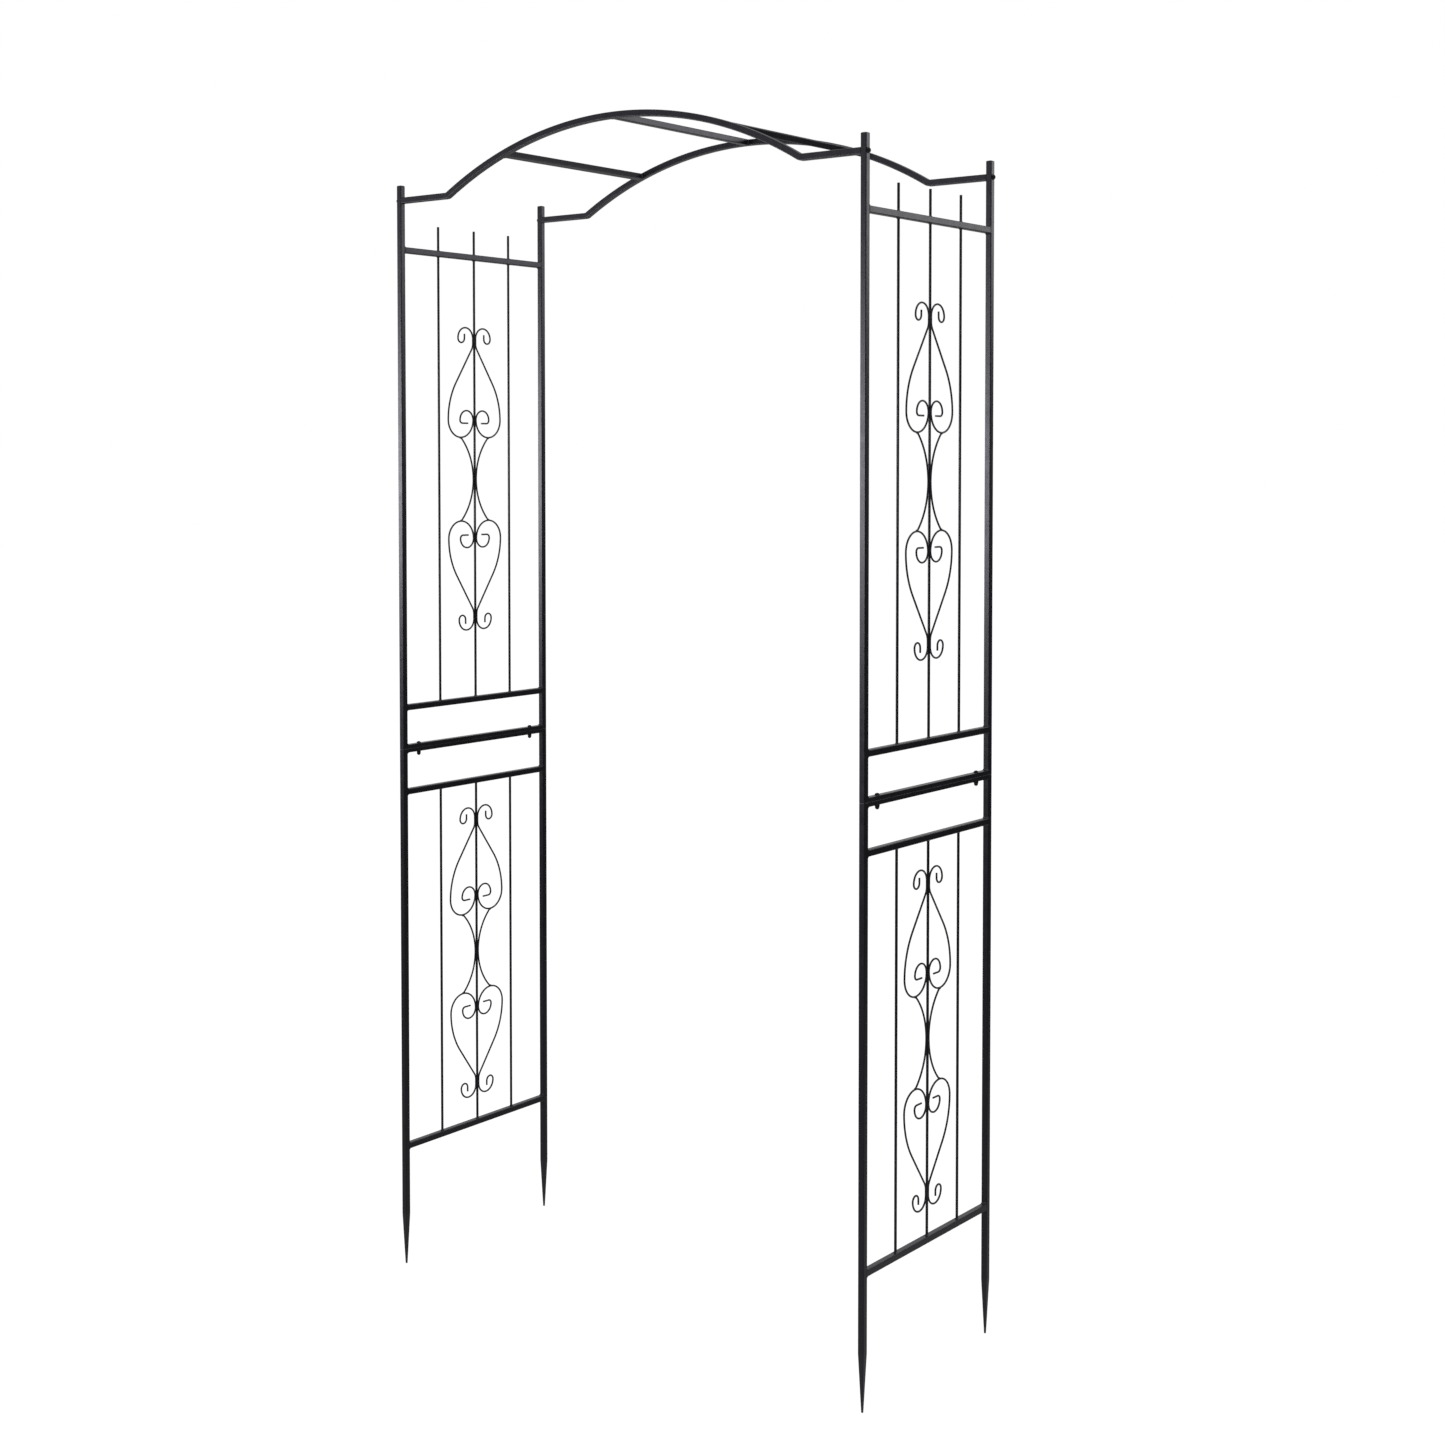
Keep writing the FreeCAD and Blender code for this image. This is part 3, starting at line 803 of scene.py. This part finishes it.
def make_rod_welds(side):
    """Fillets where the rods of one side meet the rails."""
    bm = bmesh.new()
    for level, below, above in ROD_RAILS:
        floor_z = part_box(f"{side}_{below}")[1].z
        above_low, above_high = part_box(f"{side}_{above}")
        for place in ROD_PLACES:
            centre = middle(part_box(f"{side}_{level}_rod_{place}"))
            heights = [(floor_z, 1), (above_low.z, -1)]
            if level == "upper":
                heights.append((above_high.z, 1))
            for z, direction in heights:
                rod_weld(bm, Vector((centre.x, centre.y, z)), direction)
    finish_piece(f"{side}_rod_welds", bm, "frame")


def rung_axis(place):
    """Middle of a rung, the bowed bars' outward normal there, and half the rung's length."""
    low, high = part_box(f"top_rung_{place}")
    centre = middle((low, high))
    bar_low, bar_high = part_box("front_bowed_bar")
    half = (bar_high.y - bar_low.y) / 2
    arc_centre = Vector((0, centre.y, bar_high.z - half - ARCH_RADIUS))
    return centre, (centre - arc_centre).normalized(), (high.y - low.y) / 2


def make_rung_welds():
    """Beads where the rungs meet the bowed bars."""
    bar_low, bar_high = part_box("front_bowed_bar")
    width = bar_high.y - bar_low.y
    bm = bmesh.new()
    for place in RUNG_PLACES:
        centre, normal, reach = rung_axis(place)
        tangent = THROUGH.cross(normal)
        for sign in (-1, 1):
            end = centre + THROUGH * (sign * reach)
            path = end_path(end, tangent, normal, width, width, TUBE_CORNER, tangent)
            closed_weld(bm, path, THROUGH * -sign, normal)
    finish_piece("rung_welds", bm, "frame")


def touch_zones(node, rod_centre, side):
    """Stretches of height where a scroll's wire touches the middle rod on one side."""
    heights = []
    for vertex in frame["nodes"][node].data.vertices:
        off = vertex.co - rod_centre
        if abs(off.x) < TOUCH_ACROSS and abs(side * off.y - ROD_RADIUS) < TOUCH_DEPTH:
            heights.append(vertex.co.z)
    heights.sort()
    zones = []
    for z in heights:
        if zones and z - zones[-1][1] < TOUCH_GAP:
            zones[-1][1] = z
        else:
            zones.append([z, z])
    return zones


def make_scroll_welds(side):
    """Spots where the scrolls touch the middle rods, and where the links meet the hearts."""
    bm = bmesh.new()
    grip = ROD_RADIUS + WIRE_RADIUS
    shortest, longest = GRIP_SPOT_LENGTHS
    aside, away = GRIP_SPOT_PLACE
    for level in LEVELS:
        rod_centre = middle(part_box(f"{side}_{level}_rod_mid"))
        for shape in ("upright", "inverted", "links"):
            node = f"{side}_{level}_scroll_{shape}"
            for y_side in (-1, 1):
                for low_z, high_z in touch_zones(node, rod_centre, y_side):
                    half_length = min(longest, max(shortest, (high_z - low_z) / 2.6))
                    for x_side in (-1, 1):
                        spot = Vector((x_side * aside, y_side * away, 0))
                        spot += Vector((rod_centre.x, rod_centre.y, (low_z + high_z) / 2))
                        lump(bm, spot, (*GRIP_SPOT, half_length))
        for shape, end_index, sign in (("upright", 0, 1), ("inverted", 1, -1)):
            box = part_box(f"{side}_{level}_scroll_{shape}")
            reach = (box[1].y - WIRE_RADIUS + grip) / 2
            z = box[end_index].z + sign * LINK_SPOT_DROP
            for y_side in (-1, 1):
                lump(bm, Vector((rod_centre.x, y_side * reach, z)), LINK_SPOT)
    finish_piece(f"{side}_scroll_welds", bm, "scroll")


# --------------------------------------------------------------------------------------- stage

def make_floor():
    """Wide pale floor at the level of the stake tips."""
    bm = bmesh.new()
    count = 64
    rings = []
    for radius in FLOOR_RADII:
        rings.append(round_ring(bm, Vector((0, 0, 0)), ACROSS, THROUGH, radius, count))
    bm.faces.new(rings[0])
    for inner, outer in zip(rings, rings[1:]):
        for k in range(count):
            bm.faces.new((inner[k], outer[k], outer[(k + 1) % count], inner[(k + 1) % count]))
    mesh = bpy.data.meshes.new("studio_floor")
    bm.to_mesh(mesh)
    bm.free()
    material, tree, shader, place = new_material("pale_floor")
    shade = spread(tree, noise_field(tree, place, FLOOR_SHADE, 3.0), 0.0, 1.0)
    colour = blend_colours(tree, shade, FLOOR_DARK, FLOOR_LIGHT)
    tree.links.new(colour, shader.inputs["Base Color"])
    shader.inputs["Roughness"].default_value = 0.9
    shader.inputs["Emission Color"].default_value = (1, 1, 1, 1)
    shader.inputs["Emission Strength"].default_value = FLOOR_GLOW
    mesh.materials.append(material)
    floor = bpy.data.objects.new("studio_floor", mesh)
    floor.visible_glossy = False
    floor.visible_diffuse = False
    bpy.context.scene.collection.objects.link(floor)


def add_softbox(name, place, target, width, height, brightness):
    """Rectangular soft light that faces a point. Brightness is its surface radiance."""
    data = bpy.data.lights.new(name, "AREA")
    data.shape = "RECTANGLE"
    data.size = width
    data.size_y = height
    data.energy = brightness * math.pi * width * height
    light = bpy.data.objects.new(name, data)
    light.location = place
    light.rotation_euler = (Vector(target) - Vector(place)).to_track_quat("-Z", "Y").to_euler()
    light.visible_camera = False
    bpy.context.scene.collection.objects.link(light)


def make_lights():
    for softbox in SOFTBOXES:
        add_softbox(*softbox)


def make_world():
    """White backdrop to the eye; for light, dim above, darker just below the horizon, and pale
    again further down, as a studio floor would be."""
    world = bpy.data.worlds.new("studio_world")
    bpy.context.scene.world = world
    world.use_nodes = True
    tree = world.node_tree
    tree.nodes.clear()
    output = tree.nodes.new("ShaderNodeOutputWorld")
    backdrop = tree.nodes.new("ShaderNodeBackground")
    backdrop.inputs["Color"].default_value = (1, 1, 1, 1)
    fill = tree.nodes.new("ShaderNodeBackground")
    direction = tree.nodes.new("ShaderNodeTexCoord").outputs["Generated"]
    split = tree.nodes.new("ShaderNodeSeparateXYZ")
    tree.links.new(direction, split.inputs[0])
    height = spread(tree, split.outputs["Z"], 0.0, 1.0, -1.0, 1.0)
    ramp = tree.nodes.new("ShaderNodeValToRGB")
    stops = ramp.color_ramp.elements
    while len(stops) < len(WORLD_LEVELS):
        stops.new(0.5)
    for stop, (position, level) in zip(stops, WORLD_LEVELS):
        stop.position = position
        stop.color = (level, level, level, 1)
    tree.links.new(height, ramp.inputs[0])
    tree.links.new(ramp.outputs[0], fill.inputs["Color"])
    seen = tree.nodes.new("ShaderNodeLightPath").outputs["Is Camera Ray"]
    mix = tree.nodes.new("ShaderNodeMixShader")
    tree.links.new(seen, mix.inputs[0])
    tree.links.new(fill.outputs[0], mix.inputs[1])
    tree.links.new(backdrop.outputs[0], mix.inputs[2])
    tree.links.new(mix.outputs[0], output.inputs[0])


def make_camera():
    data = bpy.data.cameras.new("studio_camera")
    data.sensor_width = 36
    data.lens = CAMERA_LENS
    data.shift_y = CAMERA_SHIFT_UP
    camera = bpy.data.objects.new("studio_camera", data)
    camera.location = CAMERA_PLACE
    camera.rotation_euler = (math.radians(CAMERA_PITCH), 0, math.radians(CAMERA_HEADING))
    bpy.context.scene.collection.objects.link(camera)
    bpy.context.scene.camera = camera


make_camera()
bpy.context.scene.view_settings.view_transform = "Standard"

for subpart in frame["record"]["subparts"]:
    cad_node = frame["nodes"][subpart["node"]]
    cad_node.data.materials.clear()
    cad_node.data.materials.append(MATERIALS[subpart["material_slot"]])

for post in POSTS:
    make_lower_post(post)
    make_upper_post(post)
make_post_caps()
for side_name in SIDES:
    for level_name in LEVELS:
        for rod_place in ROD_PLACES:
            make_rod(f"{side_name}_{level_name}_rod_{rod_place}")
    make_rail_welds(side_name)
    make_rod_welds(side_name)
    make_scroll_welds(side_name)
make_bowed_bar("front_bowed_bar")
make_bowed_bar("back_bowed_bar")
make_rung_welds()
make_arch_screws()
make_joint_screws()
make_cap_nuts()
make_floor()
make_lights()
make_world()
